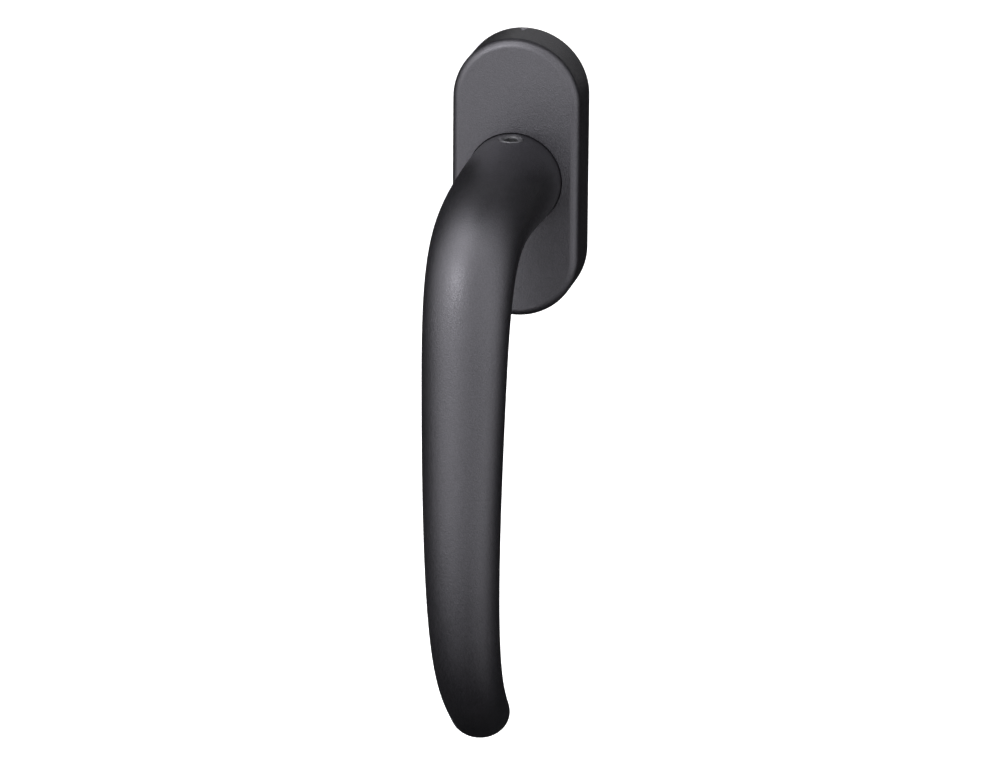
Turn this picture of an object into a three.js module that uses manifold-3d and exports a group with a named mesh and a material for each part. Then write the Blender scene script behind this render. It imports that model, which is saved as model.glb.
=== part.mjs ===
// Lever handle for a window: a cranked lever on an obround rosette, with the ball detent and fixings behind it.
// Millimetres. The origin is on the spindle axis where the rosette meets the sash. +Y goes into the sash, +Z is up.
import * as THREE from "three";
import Module from "manifold-3d";

const wasm = await Module();
wasm.setup();

// Rosette cover
const COVER_WIDTH = 30.7;
const COVER_HEIGHT = 68.2;
const COVER_DEPTH = 11.3;
const COVER_EDGE_RADIUS = 2;
const COVER_WALL = 1.4;
const COVER_FRONT_WALL = 1.5;
const COVER_HOLE_RADIUS = 11.6;
const COVER_COLLAR_RADIUS = 12.9;
const COVER_COLLAR_BACK = -9.1;
const COVER_POST_RADIUS = 1.4;
const COVER_POST_Z = 29;
const PRY_MARK_X = -0.4;
const PRY_MARK_REAR = -0.4;
const PRY_MARK_WIDTH = 2.2;
const PRY_MARK_LENGTH = 2.4;
const PRY_MARK_DEPTH = 0.9;

// Base plate behind the cover
const PLATE_WIDTH = 27.3;
const PLATE_HEIGHT = 64.3;
const PLATE_FRONT = -8;
const PLATE_BACK = -1;
const BACK_SHEET_INSET = 0.25;
const SCREW_SPACING = 43;
const CAM_RADIUS = 5;
const CAM_LENGTH = 3;
const SCREW_HOLE_RADIUS = 2.7;
const RIVET_X = 9.6;
const RIVET_Z = 11.6;
const RIVET_RADIUS = 1.2;
const RIVET_HEAD_RADIUS = 2.1;

// Detent
const ROTOR_RADIUS = 8.6;
const ROTOR_BORE_RADIUS = 9;
const ROTOR_FRONT = -6.5;
const ROTOR_BACK = -1.6;
const HUB_RADIUS = 6.4;
const HUB_HOLE_RADIUS = 6.7;
const HUB_FRONT = -8.8;
const LIP_BACK = -6.6;
const NOTCH_COUNT = 4;
const BALL_RADIUS = 2.25;
const BALL_TRAVEL = 0.8;
const BALL_AXIS_Y = -4.05;
const BALL_RIDING_Z = ROTOR_RADIUS + BALL_RADIUS + 0.06;
const CHAMBER_RADIUS = 2.35;
const CHAMBER_END_Z = 16.2;
const COIL_RADIUS = 1.55;
const COIL_WIRE_RADIUS = 0.24;
const COIL_TURNS = 4;

// Spindle
const SPINDLE_SIDE = 7;
const SPINDLE_FRONT = -27;
const SPINDLE_BACK = 35;
const SPINDLE_CORNER = 0.5;
const SOCKET_SIDE = 7.1;
const PIN_RADIUS = 0.8;
const PIN_HALF_LENGTH = 6.1;
const PIN_Y = -7.7;

// Lever: centreline in the YZ plane from the neck, over the crank and down the grip
const NECK_RADIUS = 11.3;
const NECK_BACK = -8.95;
const NECK_STRAIGHT_END = -17.1;
const CRANK_PULL_OUT = 29.9;
const CRANK_END = [-59.2, -31.1];
const CRANK_END_PULL = 30;
const CRANK_END_SLOPE = 4.8;
const GRIP_PULL_DOWN = 77.4;
const GRIP_END = [-38.3, -126.7];
const GRIP_END_PULL = 18.7;
const GRIP_END_SLOPE = 41.5;
const GRIP_TIP_ROUNDING = 5;
// Half width and half thickness of the grip's oval, from the end of the crank to the tip
const GRIP_OVALS = [
  [10, 8.05],
  [9.15, 8],
  [8.2, 7.25],
  [7, 6.3],
];
const GRIP_OVAL_STATIONS = [0, 0.35, 0.7, 1];

// Set screw in the top of the neck, M6 with a 3 mm hexagon socket
const SET_SCREW_Y = -15;
const SET_SCREW_RADIUS = 2.9;
const SET_SCREW_BOTTOM = 3.53;
const SET_SCREW_TOP = 11.2;
const SET_SCREW_HOLE_RADIUS = 2.96;
const SET_SCREW_MOUTH_RADIUS = 3.15;
const HEX_ACROSS_FLATS = 3;
const HEX_DEPTH = 3;

// Fixing screws, M5 countersunk
const SCREW_HEAD_RADIUS = 4.6;
const SCREW_RADIUS = 2.45;
const SCREW_HEAD_FRONT = -7.5;
const SCREW_TIP = 22.5;

// Leaf springs that hold the cover
const LEAF_Z = 12;
const LEAF_LENGTH = 11;
const LEAF_THICKNESS = 0.4;
const LEAF_Y_BACK = -2.6;
const LEAF_Y_FRONT = -6.6;

const finish = (color, roughness, metalness) =>
  new THREE.MeshStandardMaterial({ color, roughness, metalness });

const COATED = finish(0x3a3a3f, 0.5, 0.35);
const ZINC = finish(0x9a9c9f, 0.5, 0.8);
const STEEL = finish(0xb4b6b8, 0.35, 0.95);
const BLACK_STEEL = finish(0x2b2b2e, 0.45, 0.8);
const SPRING_STEEL = finish(0x8d9094, 0.3, 0.95);
const GLIDE_PLASTIC = finish(0xe8e6df, 0.45, 0);

// Six times the volume enclosed by triangles that face outwards
function signedVolume(vertices, triangles) {
  const corner = (i) => new THREE.Vector3().fromArray(vertices, 3 * triangles[i]);
  let total = 0;
  for (let i = 0; i < triangles.length; i += 3) {
    total += corner(i).dot(corner(i + 1).cross(corner(i + 2)));
  }
  return total;
}

// Solid from a closed three.js geometry, turned to face outwards
function solid(geometry) {
  const g = geometry.index ? geometry.toNonIndexed() : geometry;
  const position = g.attributes.position;
  const ids = new Map();
  const vertices = [];
  const triangles = [];
  for (let i = 0; i < position.count; i += 3) {
    const corner = [0, 1, 2].map((k) => {
      const p = [position.getX(i + k), position.getY(i + k), position.getZ(i + k)];
      const key = p.map((v) => Math.round(v * 1e4)).join(",");
      if (!ids.has(key)) {
        ids.set(key, ids.size);
        vertices.push(...p);
      }
      return ids.get(key);
    });
    if (new Set(corner).size === 3) {
      triangles.push(...corner);
    }
  }
  if (signedVolume(vertices, triangles) < 0) {
    triangles.reverse();
  }
  const mesh = new wasm.Mesh({
    numProp: 3,
    vertProperties: new Float32Array(vertices),
    triVerts: new Uint32Array(triangles),
  });
  return new wasm.Manifold(mesh);
}

const group = new THREE.Group();

function addPart(name, body, material) {
  const result = body.getMesh();
  const geometry = new THREE.BufferGeometry();
  const points = [];
  for (let i = 0; i < result.vertProperties.length; i += result.numProp) {
    points.push(...result.vertProperties.subarray(i, i + 3));
  }
  geometry.setAttribute("position", new THREE.Float32BufferAttribute(points, 3));
  geometry.setIndex([...result.triVerts]);
  geometry.computeVertexNormals();
  const mesh = new THREE.Mesh(geometry, material);
  mesh.name = name;
  group.add(mesh);
}

// Skin over a row of rings with equal point counts, closed at both ends by a fan
function loft(rings) {
  const count = rings[0].length;
  const positions = [];
  const triangle = (a, b, c) => positions.push(...a.toArray(), ...b.toArray(), ...c.toArray());
  for (let i = 0; i + 1 < rings.length; i++) {
    for (let k = 0; k < count; k++) {
      const next = (k + 1) % count;
      triangle(rings[i][k], rings[i][next], rings[i + 1][next]);
      triangle(rings[i][k], rings[i + 1][next], rings[i + 1][k]);
    }
  }
  const fan = (ring, flip) => {
    const middle = new THREE.Vector3();
    ring.forEach((p) => middle.addScaledVector(p, 1 / count));
    for (let k = 0; k < count; k++) {
      const a = ring[k];
      const b = ring[(k + 1) % count];
      if (flip) {
        triangle(middle, b, a);
      } else {
        triangle(middle, a, b);
      }
    }
  };
  fan(rings[0], true);
  fan(rings[rings.length - 1], false);
  const geometry = new THREE.BufferGeometry();
  geometry.setAttribute("position", new THREE.Float32BufferAttribute(positions, 3));
  return geometry;
}

// Obround outline in the XZ plane at one depth, counterclockwise seen from the front
function obround(width, height, y, arcSteps = 16) {
  const radius = width / 2;
  const straight = height / 2 - radius;
  const points = [];
  for (const end of [1, -1]) {
    for (let i = 0; i <= arcSteps; i++) {
      const angle = (Math.PI * i) / arcSteps;
      const x = end * radius * Math.cos(angle);
      const z = end * (straight + radius * Math.sin(angle));
      points.push(new THREE.Vector3(x, y, z));
    }
  }
  return points;
}

const obroundPlate = (width, height, back, front) =>
  solid(loft([obround(width, height, back), obround(width, height, front)]));

function block(x0, x1, y0, y1, z0, z1) {
  const geometry = new THREE.BoxGeometry(x1 - x0, y1 - y0, z1 - z0);
  geometry.translate((x0 + x1) / 2, (y0 + y1) / 2, (z0 + z1) / 2);
  return solid(geometry);
}

// Turned solid about an axis along Y through (x, z); the profile lists [radius, y] from the back to the front
function turned(profile, x = 0, z = 0, segments = 48) {
  const points = profile.map(([r, y]) => new THREE.Vector2(r, y));
  if (points[0].y > points[points.length - 1].y) {
    points.reverse();
  }
  const geometry = new THREE.LatheGeometry(points, segments);
  geometry.translate(x, 0, z);
  return solid(geometry);
}

const rod = (radius, back, front, x = 0, z = 0, segments = 48) =>
  turned([[0, back], [radius, back], [radius, front], [0, front]], x, z, segments);

const ring = (inner, outer, back, front) => rod(outer, back, front).subtract(rod(inner, back + 1, front - 1));

// Turned solid about an axis along Z through (0, y); the profile lists [radius, z] from the bottom to the top
function turnedUpright(profile, y, segments = 24) {
  const points = profile.map(([r, z]) => new THREE.Vector2(r, z));
  const geometry = new THREE.LatheGeometry(points, segments);
  geometry.rotateX(Math.PI / 2);
  geometry.translate(0, y, 0);
  return solid(geometry);
}

const uprightRod = (radius, y, bottom, top, segments = 24) =>
  turnedUpright([[0, bottom], [radius, bottom], [radius, top], [0, top]], y, segments);

const squareBar = (side, back, front) =>
  block(-side / 2, side / 2, front, back, -side / 2, side / 2);

// Rosette cover
const coverRings = [obround(COVER_WIDTH, COVER_HEIGHT, 0)];
const EDGE_STEPS = 4;
for (let i = 0; i <= EDGE_STEPS; i++) {
  const angle = (Math.PI / 2) * (i / EDGE_STEPS);
  const inset = COVER_EDGE_RADIUS * (1 - Math.cos(angle));
  const y = -COVER_DEPTH + COVER_EDGE_RADIUS * (1 - Math.sin(angle));
  coverRings.push(obround(COVER_WIDTH - 2 * inset, COVER_HEIGHT - 2 * inset, y));
}
const coverInside = COVER_FRONT_WALL - COVER_DEPTH;
let cover = solid(loft(coverRings));
cover = cover.subtract(
  obroundPlate(COVER_WIDTH - 2 * COVER_WALL, COVER_HEIGHT - 2 * COVER_WALL, 1, coverInside),
);
cover = cover.add(rod(COVER_COLLAR_RADIUS, COVER_COLLAR_BACK, coverInside - 0.5));
for (const side of [1, -1]) {
  cover = cover.add(
    rod(COVER_POST_RADIUS, PLATE_FRONT - 0.05, coverInside - 0.5, 0, side * COVER_POST_Z, 16),
  );
}
cover = cover.subtract(rod(COVER_HOLE_RADIUS, 1, -COVER_DEPTH - 1, 0, 0, 72));
// Pry mark: a blind three-sided dimple in the top wall, near its rear edge
const markBottom = [PRY_MARK_X, PRY_MARK_REAR - 0.35 * PRY_MARK_LENGTH, COVER_HEIGHT / 2 - PRY_MARK_DEPTH];
const markCorners = [
  [-PRY_MARK_WIDTH / 2, 0.35 * PRY_MARK_LENGTH],
  [PRY_MARK_WIDTH / 2, 0.35 * PRY_MARK_LENGTH],
  [0, -0.65 * PRY_MARK_LENGTH],
];
const markTool = markCorners.map(([x, y]) => [
  markBottom[0] + 2 * x,
  markBottom[1] + 2 * y,
  markBottom[2] + 2 * PRY_MARK_DEPTH,
]);
cover = cover.subtract(wasm.Manifold.hull([markBottom, ...markTool]));
addPart("cover", cover, COATED);

// Base plate with two hollow cams, the rotor's bore, the two ball chambers and the slots of the leaf springs
let plate = obroundPlate(PLATE_WIDTH, PLATE_HEIGHT, PLATE_BACK, PLATE_FRONT);
for (const side of [1, -1]) {
  const z = (side * SCREW_SPACING) / 2;
  const headSeat = SCREW_HEAD_RADIUS + 0.2;
  const coneLength = headSeat - SCREW_HOLE_RADIUS;
  plate = plate.add(rod(CAM_RADIUS, CAM_LENGTH, PLATE_BACK - 1, 0, z, 40));
  plate = plate.subtract(
    turned(
      [
        [0, CAM_LENGTH + 1],
        [SCREW_HOLE_RADIUS, CAM_LENGTH + 1],
        [SCREW_HOLE_RADIUS, SCREW_HEAD_FRONT + 0.35 + coneLength],
        [headSeat, SCREW_HEAD_FRONT + 0.35],
        [headSeat, PLATE_FRONT - 1],
        [0, PLATE_FRONT - 1],
      ],
      0,
      z,
      32,
    ),
  );
}
plate = plate.subtract(rod(ROTOR_BORE_RADIUS, PLATE_BACK + 1, LIP_BACK, 0, 0, 64));
plate = plate.subtract(rod(HUB_HOLE_RADIUS, PLATE_BACK, PLATE_FRONT - 1, 0, 0, 64));
plate = plate.subtract(uprightRod(CHAMBER_RADIUS, BALL_AXIS_Y, -CHAMBER_END_Z, CHAMBER_END_Z));
for (const x of [-RIVET_X, RIVET_X]) {
  const z = Math.sign(x) * RIVET_Z;
  plate = plate.subtract(rod(RIVET_RADIUS + 0.02, 1, PLATE_FRONT - 1, x, z, 20));
  plate = plate.subtract(rod(RIVET_HEAD_RADIUS + 0.1, PLATE_FRONT + 0.8, PLATE_FRONT - 1, x, z, 20));
}
const slotDepth = 0.95;
const slotHalf = LEAF_LENGTH / 2 + 0.5;
for (const x of [-1, 1]) {
  for (const z of [-LEAF_Z, LEAF_Z]) {
    const a = x * (PLATE_WIDTH / 2 - slotDepth);
    const b = x * (PLATE_WIDTH / 2 + 1);
    const low = Math.min(a, b);
    const high = Math.max(a, b);
    plate = plate.subtract(
      block(low, high, LEAF_Y_FRONT - 0.2, LEAF_Y_BACK + 0.2, z - slotHalf, z + slotHalf),
    );
  }
}
addPart("base_plate", plate, ZINC);

// Steel sheet that closes the back of the base plate
let sheet = obroundPlate(
  PLATE_WIDTH - 2 * BACK_SHEET_INSET,
  PLATE_HEIGHT - 2 * BACK_SHEET_INSET,
  0,
  PLATE_BACK,
);
sheet = sheet.subtract(rod(HUB_HOLE_RADIUS, 1, PLATE_BACK - 1));
for (const side of [1, -1]) {
  sheet = sheet.subtract(rod(CAM_RADIUS + 0.05, 1, PLATE_BACK - 1, 0, (side * SCREW_SPACING) / 2, 40));
  sheet = sheet.subtract(
    turned(
      [[0, 0.5], [RIVET_HEAD_RADIUS + 0.55, 0.5], [RIVET_RADIUS + 0.05, -0.95], [RIVET_RADIUS + 0.05, -2], [0, -2]],
      side * RIVET_X,
      side * RIVET_Z,
      20,
    ),
  );
}
addPart("back_sheet", sheet, STEEL);

// Rivets through the sheet and the plate
for (const [name, side] of [["rivet_upper", 1], ["rivet_lower", -1]]) {
  const rivet = turned(
    [
      [0, -0.05],
      [RIVET_HEAD_RADIUS, -0.05],
      [RIVET_RADIUS, -0.95],
      [RIVET_RADIUS, PLATE_FRONT + 0.75],
      [RIVET_HEAD_RADIUS, PLATE_FRONT + 0.75],
      [RIVET_HEAD_RADIUS - 0.3, PLATE_FRONT + 0.1],
      [0, PLATE_FRONT + 0.1],
    ],
    side * RIVET_X,
    side * RIVET_Z,
    20,
  );
  addPart(name, rivet, STEEL);
}

// Rotor: notched disc with a hub, square through hole and cross hole for the spindle pin
let rotor = rod(ROTOR_RADIUS, ROTOR_BACK, ROTOR_FRONT, 0, 0, 72);
rotor = rotor.add(rod(HUB_RADIUS, ROTOR_BACK, HUB_FRONT, 0, 0, 64));
const notchCentre = BALL_RIDING_Z - BALL_TRAVEL;
for (let i = 0; i < NOTCH_COUNT; i++) {
  const angle = (2 * Math.PI * i) / NOTCH_COUNT;
  const x = notchCentre * Math.sin(angle);
  const z = notchCentre * Math.cos(angle);
  rotor = rotor.subtract(rod(BALL_RADIUS + 0.12, 0, ROTOR_FRONT - 1, x, z, 32));
}
rotor = rotor.subtract(squareBar(SPINDLE_SIDE + 0.06, 0, HUB_FRONT - 1));
const crossHole = (radius, halfLength) => {
  const geometry = new THREE.CylinderGeometry(radius, radius, 2 * halfLength, 16);
  geometry.rotateZ(Math.PI / 2);
  geometry.translate(0, PIN_Y, 0);
  return solid(geometry);
};
rotor = rotor.subtract(crossHole(PIN_RADIUS + 0.03, HUB_RADIUS + 1));
addPart("rotor", rotor, ZINC);

// Thrust washer behind the rotor, glide ring under the neck
addPart("thrust_washer", ring(6, 8.4, -1.1, -1.5), SPRING_STEEL);
addPart("glide_ring", ring(7.9, 11, PLATE_FRONT - 0.05, NECK_BACK + 0.1), GLIDE_PLASTIC);

// Square spindle with broken corners and tapered ends, and its cross pin
const spindleRing = (side, y) => {
  const h = side / 2;
  const c = (SPINDLE_CORNER * side) / SPINDLE_SIDE;
  const corners = [
    [h, h - c], [h - c, h], [c - h, h], [-h, h - c],
    [-h, c - h], [c - h, -h], [h - c, -h], [h, c - h],
  ];
  return corners.map(([x, z]) => new THREE.Vector3(x, y, z));
};
let spindle = solid(
  loft([
    spindleRing(SPINDLE_SIDE - 1.6, SPINDLE_BACK),
    spindleRing(SPINDLE_SIDE, SPINDLE_BACK - 1.2),
    spindleRing(SPINDLE_SIDE, SPINDLE_FRONT + 0.8),
    spindleRing(SPINDLE_SIDE - 1.2, SPINDLE_FRONT),
  ]),
);
spindle = spindle.subtract(crossHole(PIN_RADIUS + 0.03, SPINDLE_SIDE));
addPart("spindle", spindle, STEEL);
addPart("spindle_pin", crossHole(PIN_RADIUS, PIN_HALF_LENGTH), STEEL);

// Balls and their coil springs, one pair above and one below the rotor
for (const [place, side] of [["upper", 1], ["lower", -1]]) {
  const ball = new THREE.SphereGeometry(BALL_RADIUS, 16, 10);
  ball.translate(0, BALL_AXIS_Y, side * BALL_RIDING_Z);
  addPart(`ball_${place}`, solid(ball), STEEL);

  const start = BALL_RIDING_Z + Math.sqrt((BALL_RADIUS + COIL_WIRE_RADIUS) ** 2 - COIL_RADIUS ** 2) + 0.06;
  const end = CHAMBER_END_Z - COIL_WIRE_RADIUS - 0.08;
  const stepsPerTurn = 10;
  const coil = [];
  for (let i = 0; i <= COIL_TURNS * stepsPerTurn; i++) {
    const angle = (2 * Math.PI * i) / stepsPerTurn;
    const z = start + ((end - start) * i) / (COIL_TURNS * stepsPerTurn);
    coil.push(
      new THREE.Vector3(COIL_RADIUS * Math.cos(angle), BALL_AXIS_Y + COIL_RADIUS * Math.sin(angle), side * z),
    );
  }
  const wire = new THREE.Shape();
  wire.absarc(0, 0, COIL_WIRE_RADIUS, 0, 2 * Math.PI);
  const spring = new THREE.ExtrudeGeometry(wire, {
    steps: COIL_TURNS * stepsPerTurn,
    curveSegments: 6,
    bevelEnabled: false,
    extrudePath: new THREE.CatmullRomCurve3(coil),
  });
  addPart(`detent_spring_${place}`, solid(spring), SPRING_STEEL);
}

// Leaf springs bowed out of the plate's long sides against the cover
const leafEnd = PLATE_WIDTH / 2 - slotDepth + 0.03;
const leafCrown = COVER_WIDTH / 2 - COVER_WALL - 0.04 - LEAF_THICKNESS;
const LEAF_STEPS = 10;
for (const [across, x] of [["left", -1], ["right", 1]]) {
  for (const [place, side] of [["upper", 1], ["lower", -1]]) {
    const bow = (offset) => {
      const points = [];
      for (let i = 0; i <= LEAF_STEPS; i++) {
        const t = (2 * i) / LEAF_STEPS - 1;
        const rise = (leafCrown - leafEnd) * (0.5 + 0.5 * Math.cos(Math.PI * t));
        points.push(new THREE.Vector2(x * (leafEnd + rise + offset), side * LEAF_Z + (t * LEAF_LENGTH) / 2));
      }
      return points;
    };
    const outline = new THREE.Shape([...bow(0), ...bow(LEAF_THICKNESS).reverse()]);
    const leaf = new THREE.ExtrudeGeometry(outline, {
      depth: LEAF_Y_BACK - LEAF_Y_FRONT,
      bevelEnabled: false,
    });
    leaf.rotateX(Math.PI / 2);
    leaf.translate(0, LEAF_Y_BACK, 0);
    addPart(`cover_spring_${place}_${across}`, solid(leaf), SPRING_STEEL);
  }
}

// Fixing screws with a tapered cross recess
for (const [name, side] of [["fixing_screw_upper", 1], ["fixing_screw_lower", -1]]) {
  const z = (side * SCREW_SPACING) / 2;
  const coneBack = SCREW_HEAD_FRONT + 0.3 + SCREW_HEAD_RADIUS - SCREW_RADIUS;
  let screw = turned(
    [
      [0, SCREW_TIP],
      [SCREW_RADIUS - 0.9, SCREW_TIP],
      [SCREW_RADIUS, SCREW_TIP - 1],
      [SCREW_RADIUS, coneBack],
      [SCREW_HEAD_RADIUS, SCREW_HEAD_FRONT + 0.3],
      [SCREW_HEAD_RADIUS, SCREW_HEAD_FRONT],
      [0, SCREW_HEAD_FRONT],
    ],
    0,
    z,
    32,
  );
  const top = SCREW_HEAD_FRONT - 1;
  const deep = SCREW_HEAD_FRONT + 2.6;
  const cross = block(-0.6, 0.6, top, deep, z - 3, z + 3).add(block(-3, 3, top, deep, z - 0.6, z + 0.6));
  const taper = turned([[0, deep], [0.8, deep], [2.5, SCREW_HEAD_FRONT], [3, top], [0, top]], 0, z, 24);
  screw = screw.subtract(cross.intersect(taper));
  addPart(name, screw, STEEL);
}

// Lever
const atPoint = ([y, z]) => new THREE.Vector3(0, y, z);
const slopeDirection = (degrees, outward) => {
  const angle = (degrees * Math.PI) / 180;
  return new THREE.Vector3(0, outward * Math.sin(angle), -Math.cos(angle));
};
const neckBack = atPoint([NECK_BACK, 0]);
const neckEnd = atPoint([NECK_STRAIGHT_END, 0]);
const crankEnd = atPoint(CRANK_END);
const gripEnd = atPoint(GRIP_END);
const crankSlope = slopeDirection(CRANK_END_SLOPE, -1);
const endSlope = slopeDirection(GRIP_END_SLOPE, 1);
const crank = new THREE.CubicBezierCurve3(
  neckEnd,
  neckEnd.clone().add(new THREE.Vector3(0, -CRANK_PULL_OUT, 0)),
  crankEnd.clone().addScaledVector(crankSlope, -CRANK_END_PULL),
  crankEnd,
);
const grip = new THREE.CubicBezierCurve3(
  crankEnd,
  crankEnd.clone().addScaledVector(crankSlope, GRIP_PULL_DOWN),
  gripEnd.clone().addScaledVector(endSlope, -GRIP_END_PULL),
  gripEnd,
);

// Eases between the values of a row of stations
function eased(stations, values, s) {
  let i = 0;
  while (i < stations.length - 2 && s > stations[i + 1]) {
    i++;
  }
  const t = THREE.MathUtils.clamp((s - stations[i]) / (stations[i + 1] - stations[i]), 0, 1);
  return THREE.MathUtils.lerp(values[i], values[i + 1], t);
}

const RING_POINTS = 40;
function sectionRing(centre, tangent, halfWidth, halfThickness) {
  const across = new THREE.Vector3(0, -tangent.z, tangent.y);
  const points = [];
  for (let k = 0; k < RING_POINTS; k++) {
    const angle = (2 * Math.PI * k) / RING_POINTS;
    const p = centre.clone().addScaledVector(across, halfThickness * Math.sin(angle));
    p.x = halfWidth * Math.cos(angle);
    points.push(p);
  }
  return points;
}

const leverRings = [sectionRing(neckBack, new THREE.Vector3(0, -1, 0), NECK_RADIUS, NECK_RADIUS)];
const CRANK_STEPS = 18;
for (let i = 0; i <= CRANK_STEPS; i++) {
  const t = i / CRANK_STEPS;
  const blend = t * t * (3 - 2 * t);
  const halfWidth = THREE.MathUtils.lerp(NECK_RADIUS, GRIP_OVALS[0][0], blend);
  const halfThickness = THREE.MathUtils.lerp(NECK_RADIUS, GRIP_OVALS[0][1], blend);
  leverRings.push(sectionRing(crank.getPointAt(t), crank.getTangentAt(t), halfWidth, halfThickness));
}
const gripLength = grip.getLength();
const tipStart = 1 - GRIP_TIP_ROUNDING / gripLength;
const GRIP_STEPS = 14;
const TIP_STEPS = 5;
const widths = GRIP_OVALS.map((oval) => oval[0]);
const thicknesses = GRIP_OVALS.map((oval) => oval[1]);
for (let i = 1; i <= GRIP_STEPS + TIP_STEPS; i++) {
  const inTip = i > GRIP_STEPS;
  const tipAngle = inTip ? (Math.PI / 2) * ((i - GRIP_STEPS) / TIP_STEPS) : 0;
  const t = inTip ? tipStart + (1 - tipStart) * Math.sin(tipAngle) : (tipStart * i) / GRIP_STEPS;
  const inset = GRIP_TIP_ROUNDING * (1 - Math.cos(tipAngle));
  const halfWidth = eased(GRIP_OVAL_STATIONS, widths, t) - inset;
  const halfThickness = eased(GRIP_OVAL_STATIONS, thicknesses, t) - inset;
  leverRings.push(sectionRing(grip.getPointAt(t), grip.getTangentAt(t), halfWidth, halfThickness));
}
let lever = solid(loft(leverRings));
lever = lever.subtract(squareBar(SOCKET_SIDE, 0, SPINDLE_FRONT - 0.6));
lever = lever.subtract(
  turnedUpright(
    [
      [0, 2],
      [SET_SCREW_HOLE_RADIUS, 2],
      [SET_SCREW_HOLE_RADIUS, NECK_RADIUS - SET_SCREW_MOUTH_RADIUS + SET_SCREW_HOLE_RADIUS - 0.1],
      [SET_SCREW_MOUTH_RADIUS + 1, NECK_RADIUS + 0.9],
      [0, NECK_RADIUS + 0.9],
    ],
    SET_SCREW_Y,
  ),
);
addPart("lever", lever, COATED);

// Set screw with a hexagon socket
let setScrew = turnedUpright(
  [
    [0, SET_SCREW_BOTTOM],
    [SET_SCREW_RADIUS - 0.7, SET_SCREW_BOTTOM],
    [SET_SCREW_RADIUS, SET_SCREW_BOTTOM + 0.7],
    [SET_SCREW_RADIUS, SET_SCREW_TOP - 0.3],
    [SET_SCREW_RADIUS - 0.3, SET_SCREW_TOP],
    [0, SET_SCREW_TOP],
  ],
  SET_SCREW_Y,
);
const hexRadius = HEX_ACROSS_FLATS / Math.sqrt(3);
setScrew = setScrew.subtract(
  uprightRod(hexRadius, SET_SCREW_Y, SET_SCREW_TOP - HEX_DEPTH, SET_SCREW_TOP + 1, 6),
);
addPart("set_screw", setScrew, BLACK_STEEL);

export default group;
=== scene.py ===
"""Window lever handle: a powder coated lever on an obround rosette, with its detent, spindle and fixings."""

import logging
import math
from collections.abc import Sequence
from dataclasses import dataclass
from enum import Enum
from typing import ClassVar

import bmesh
import bpy
from mathutils import Matrix, Vector
from mathutils.geometry import interpolate_bezier


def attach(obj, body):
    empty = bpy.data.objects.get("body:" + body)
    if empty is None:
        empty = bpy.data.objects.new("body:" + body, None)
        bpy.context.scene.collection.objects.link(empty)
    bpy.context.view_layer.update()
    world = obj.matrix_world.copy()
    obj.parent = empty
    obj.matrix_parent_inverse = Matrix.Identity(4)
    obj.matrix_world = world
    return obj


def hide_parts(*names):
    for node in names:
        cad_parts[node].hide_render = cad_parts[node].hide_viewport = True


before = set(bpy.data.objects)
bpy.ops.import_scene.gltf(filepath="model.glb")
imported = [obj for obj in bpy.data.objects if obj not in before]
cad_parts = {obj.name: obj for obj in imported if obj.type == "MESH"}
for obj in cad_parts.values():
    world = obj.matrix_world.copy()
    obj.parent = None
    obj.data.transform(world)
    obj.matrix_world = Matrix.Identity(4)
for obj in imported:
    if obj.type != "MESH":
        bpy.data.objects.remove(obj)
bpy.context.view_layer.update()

MM = 0.001
FULL_TURN = 2 * math.pi
LOG = logging.getLogger("handle")

Profile = Sequence[tuple[float, float]]


class Axis(Enum):
    """Direction in which the height of a turned profile runs."""

    SPINDLE = "into the sash"
    UPRIGHT = "up"
    CROSS = "to the right"

    @property
    def turn(self) -> Matrix:
        """Rotation from a shape that stands on Z to this axis."""
        return {
            Axis.SPINDLE: Matrix.Rotation(-math.pi / 2, 4, "X"),
            Axis.UPRIGHT: Matrix.Identity(4),
            Axis.CROSS: Matrix.Rotation(math.pi / 2, 4, "Y"),
        }[self]


class Cut(Enum):
    """How one solid acts on another."""

    REMOVE = "DIFFERENCE"
    ADD = "UNION"


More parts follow.
